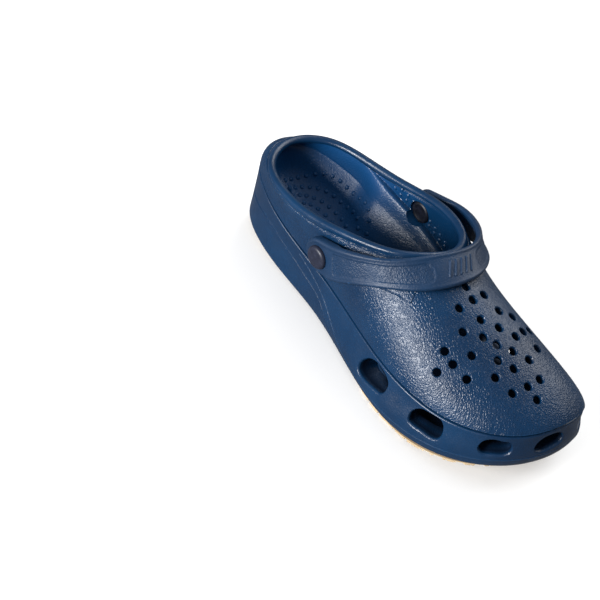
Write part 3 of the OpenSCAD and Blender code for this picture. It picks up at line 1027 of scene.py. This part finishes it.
# --------------------------------------------------------------- materials
class Nodes:
    """Short forms for building a node tree."""

    def __init__(self, name):
        self.mat = bpy.data.materials.new(name)
        self.mat.use_nodes = True
        self.tree = self.mat.node_tree
        self.shader = self.tree.nodes["Principled BSDF"]
        self.place = self.new("ShaderNodeTexCoord").outputs["Object"]

    def new(self, kind, **props):
        node = self.tree.nodes.new(kind)
        for k, v in props.items():
            setattr(node, k, v)
        return node

    def put(self, socket, value):
        if isinstance(value, bpy.types.NodeSocket):
            self.tree.links.new(value, socket)
        else:
            socket.default_value = value

    def noise(self, scale, detail=2.0, rough=0.5, distortion=0.0, offset=None):
        node = self.new("ShaderNodeTexNoise")
        place = self.place
        if offset:
            shift = self.new("ShaderNodeMapping")
            self.put(shift.inputs["Vector"], self.place)
            shift.inputs["Location"].default_value = offset
            place = shift.outputs["Vector"]
        self.put(node.inputs["Vector"], place)
        node.inputs["Scale"].default_value = scale
        node.inputs["Detail"].default_value = detail
        node.inputs["Roughness"].default_value = rough
        node.inputs["Distortion"].default_value = distortion
        return node.outputs["Fac"]

    def cells(self, scale, vector):
        node = self.new("ShaderNodeTexVoronoi", feature="DISTANCE_TO_EDGE")
        self.put(node.inputs["Vector"], vector)
        node.inputs["Scale"].default_value = scale
        return node.outputs["Distance"]

    def math(self, how, *values):
        node = self.new("ShaderNodeMath", operation=how)
        for socket, v in zip(node.inputs, values):
            self.put(socket, v)
        return node.outputs[0]

    def span(self, value, a, b, c=0.0, d=1.0):
        node = self.new("ShaderNodeMapRange", interpolation_type="SMOOTHSTEP")
        for socket, v in zip(node.inputs, (value, a, b, c, d)):
            self.put(socket, v)
        return node.outputs[0]

    def mix(self, fac, a, b):
        node = self.new("ShaderNodeMix", data_type="RGBA")
        self.put(node.inputs[0], fac)
        self.put(node.inputs[6], (*a, 1) if isinstance(a, tuple) else a)
        self.put(node.inputs[7], (*b, 1) if isinstance(b, tuple) else b)
        return node.outputs[2]

    def attribute(self, name):
        node = self.new("ShaderNodeAttribute", attribute_name=name)
        return node.outputs["Fac"]

    def bump(self, height, strength, distance, normal=None):
        node = self.new("ShaderNodeBump")
        self.put(node.inputs["Height"], height)
        self.put(node.inputs["Strength"], strength)
        node.inputs["Distance"].default_value = distance
        if normal:
            self.put(node.inputs["Normal"], normal)
        return node.outputs["Normal"]

    def done(self, colour, rough, normal, specular=0.5):
        s = self.shader.inputs
        self.put(s["Base Color"], colour)
        self.put(s["Roughness"], rough)
        self.put(s["Normal"], normal)
        s["Specular IOR Level"].default_value = specular
        return self.mat


NAVY = (0.0011, 0.0205, 0.0600)
NAVY_DEEP = (0.0007, 0.0138, 0.0425)
NAVY_SHADED = (0.0005, 0.0040, 0.0130)
# Painted light: a lighter blue for the inside of the heel cup.
NAVY_CUP_LIT = (0.0020, 0.0360, 0.1130)
# Lighter navy for sharp edges: partly rubbed wear, partly painted highlight.
NAVY_WEAR_AND_HIGHLIGHT = (0.0065, 0.0450, 0.1150)


def foam_material(name, grain_gain, rough):
    """Moulded foam with a soft leather-like grain."""
    n = Nodes(name)
    grain = n.attribute("grain")
    warp = n.new("ShaderNodeVectorMath", operation="MULTIPLY_ADD")
    wobble = n.new("ShaderNodeTexNoise")
    n.put(wobble.inputs["Vector"], n.place)
    wobble.inputs["Scale"].default_value = 260
    n.put(warp.inputs[0], wobble.outputs["Color"])
    warp.inputs[1].default_value = (0.0022, 0.0022, 0.0022)
    n.put(warp.inputs[2], n.place)
    cell = n.cells(620, warp.outputs[0])
    pebble = n.span(cell, 0.0, 0.32)
    creases = n.noise(420, 3, 0.6, 0.4)
    pores = n.noise(1500, 2, 0.6)
    waves = n.noise(38, 2, 0.5, offset=(0.3, 0.1, 0.7))
    skin_height = n.math("MULTIPLY_ADD", creases, 0.9,
                         n.math("MULTIPLY", pebble, 0.55))
    strength = n.math("MULTIPLY", grain, grain_gain)
    normal = n.bump(waves, 0.42, 0.0012)
    normal = n.bump(skin_height, strength, 0.00026, normal)
    normal = n.bump(pores, 0.25, 0.00012, normal)
    blotches = n.noise(24, 3, 0.55, offset=(0.9, 0.2, 0.4))
    tone = n.mix(n.span(blotches, 0.3, 0.72), NAVY_DEEP, NAVY)
    # Sharp edges, broken up by noise, turn lighter: partly rubbed wear, partly
    # painted highlight.
    point = n.new("ShaderNodeNewGeometry").outputs["Pointiness"]
    pale_edges = n.math("MULTIPLY", n.span(point, 0.52, 0.6), n.span(
        n.noise(120, 3, 0.6), 0.3, 0.7, 0.25, 0.8))
    tone = n.mix(pale_edges, tone, NAVY_WEAR_AND_HIGHLIGHT)
    # Painted shade: the inside of the toe box, the walls of holes and vents
    # and the groove line take a near-black tone, rougher and with weaker
    # reflections.
    shaded = n.math("MAXIMUM", n.attribute("inside"), n.attribute("deep_shade"))
    shaded = n.math("MAXIMUM", shaded,
                    n.math("MULTIPLY", n.attribute("seam"), 0.8))
    # Painted light: a lighter blue over the heel cup.
    tone = n.mix(n.attribute("cup"), tone, NAVY_CUP_LIT)
    tone = n.mix(shaded, tone, NAVY_SHADED)
    scuff = n.span(n.noise(70, 4, 0.65, 0.4, (0.4, 0.8, 0.1)), 0.38, 0.68)
    gloss = n.math("MULTIPLY_ADD", scuff, 0.1, rough)
    gloss = n.math("MAXIMUM", gloss, n.math("MULTIPLY", shaded, 0.85))
    gloss = n.math("MAXIMUM", gloss,
                   n.math("MULTIPLY", n.attribute("cup"), 0.42))
    n.put(n.shader.inputs["Specular Tint"],
          n.mix(shaded, (1, 1, 1), (0.1, 0.1, 0.1)))
    return n.done(tone, gloss, normal, 0.4)


def rubber_material():
    """Tan tread rubber, dusty and matt."""
    n = Nodes("tan_tread_rubber")
    tone = n.mix(n.span(n.noise(60, 4, 0.6), 0.3, 0.72),
                 (0.34, 0.25, 0.15), (0.44, 0.34, 0.215))
    # Darker where the surface is hollow.
    point = n.new("ShaderNodeNewGeometry").outputs["Pointiness"]
    tone = n.mix(n.span(point, 0.5, 0.42, 0.0, 0.65), tone, (0.17, 0.12, 0.07))
    speck = n.span(n.noise(900, 2, 0.6), 0.6, 0.75, 0.0, 0.4)
    tone = n.mix(speck, tone, (0.5, 0.42, 0.31))
    normal = n.bump(n.noise(420, 3, 0.6), 0.35, 0.0004)
    normal = n.bump(n.noise(1800, 2, 0.5), 0.3, 0.0001, normal)
    rough = n.span(n.noise(160, 3, 0.6), 0.3, 0.7, 0.62, 0.8)
    return n.done(tone, rough, normal, 0.4)


def rivet_material(name, dark, pale, pale_edges):
    """Near-black moulded plastic with a fine spark texture."""
    n = Nodes(name)
    tone = n.mix(n.span(n.noise(300, 3, 0.6), 0.35, 0.7), dark, pale)
    # Lighter on sharp edges.
    point = n.new("ShaderNodeNewGeometry").outputs["Pointiness"]
    tone = n.mix(n.span(point, 0.53, 0.64, 0.0, 0.6), tone, pale_edges)
    normal = n.bump(n.noise(1300, 2, 0.6), 0.4, 0.00012)
    rough = n.span(n.noise(500, 3, 0.6), 0.3, 0.7, 0.36, 0.5)
    return n.done(tone, rough, normal, 0.35)


# ------------------------------------------------------------------- stage
def area_light(name, toward, distance, size, power):
    """A softbox that shines at the clog from the given direction."""
    data = bpy.data.lights.new(name, "AREA")
    data.shape, data.size, data.size_y = "RECTANGLE", size[0], size[1]
    data.energy = power
    obj = bpy.data.objects.new(name, data)
    d = Vector(toward).normalized()
    obj.location = Vector((0, 0, 0.05)) + d * distance
    obj.rotation_euler = d.to_track_quat("Z", "Y").to_euler()
    bpy.context.scene.collection.objects.link(obj)
    return obj


def build_stage():
    scene = bpy.context.scene
    mesh = bpy.data.meshes.new("floor")
    half = 4.0
    mesh.from_pydata([(-half, -half, 0), (half, -half, 0), (half, half, 0),
                      (-half, half, 0)], [], [(0, 1, 2, 3)])
    floor = bpy.data.objects.new("floor", mesh)
    scene.collection.objects.link(floor)
    n = Nodes("pale_floor")
    tone = n.mix(n.noise(6, 3, 0.5), (0.62, 0.62, 0.62), (0.66, 0.66, 0.66))
    n.shader.inputs["Emission Color"].default_value = (1, 1, 1, 1)
    n.shader.inputs["Emission Strength"].default_value = 0.3
    floor.data.materials.append(n.done(
        tone, 0.7, n.bump(n.noise(90, 2, 0.5), 0.05, 0.0005), 0.2))
    floor.visible_glossy = False
    world = bpy.data.worlds.new("studio")
    world.use_nodes = True
    back = world.node_tree.nodes["Background"]
    back.inputs["Color"].default_value = (1, 1, 1, 1)
    back.inputs["Strength"].default_value = 0.2
    scene.world = world
    area_light("key_softbox", (-0.2, -0.94, 0.26), 2.5, (1.3, 1.0), 140)
    area_light("rim_softbox", (-0.05, 0.72, 0.7), 2.5, (2.4, 1.6), 56)
    fill = area_light("top_fill", (-0.1, 0.0, 1.0), 2.5, (3.0, 3.0), 36)
    fill.visible_glossy = False
    scene.view_settings.view_transform = "Standard"


CAMERA_AT = (0.6166, -0.9887, 1.1056)
CAMERA_RIGHT, CAMERA_UP = (0.6339, 0.7320, 0.2496), (-0.6514, 0.3313, 0.6826)
CAMERA_LENS = 149.0


def build_camera():
    data = bpy.data.cameras.new("camera")
    data.lens, data.sensor_width = CAMERA_LENS, 36
    data.clip_start, data.clip_end = 0.05, 50
    camera = bpy.data.objects.new("camera", data)
    right = Vector(CAMERA_RIGHT).normalized()
    up = Vector(CAMERA_UP)
    up = (up - right * up.dot(right)).normalized()
    turn = Matrix((right, up, right.cross(up))).transposed()
    camera.matrix_world = Matrix.Translation(CAMERA_AT) @ turn.to_4x4()
    bpy.context.scene.collection.objects.link(camera)
    bpy.context.scene.camera = camera


# ----------------------------------------------------------------- assembly
body_foam = foam_material("navy_foam_grain", 0.9, 0.29)
strap_foam = foam_material("navy_strap_grain", 1.0, 0.45)
rubber = rubber_material()
button_black = rivet_material("button_plastic", (0.007, 0.009, 0.02),
                              (0.012, 0.015, 0.03), (0.04, 0.05, 0.08))
cap_black = rivet_material("cap_plastic", (0.002, 0.0025, 0.005),
                           (0.005, 0.006, 0.012), (0.05, 0.055, 0.07))

finish_piece(build_body(), "clog", "clog_body", body_foam)
finish_piece(build_strap(), "strap", "heel_strap", strap_foam)
for made, cad_node, plastic in zip(
        build_rivets(),
        ("rivet_button_lateral", "rivet_button_medial", "rivet_cap_lateral",
         "rivet_cap_medial"),
        (button_black, button_black, cap_black, cap_black)):
    finish_piece(made, "clog", cad_node, plastic)
for made, cad_node in (
        (build_tread("tread_forefoot", BALL_PAD, PAD_STARTS["ball"]),
         "forefoot_tread"),
        (build_tread("tread_heel", HEEL_PAD, PAD_STARTS["heel"]),
         "heel_tread")):
    finish_piece(made, "clog", cad_node, rubber)
build_stage()
build_camera()
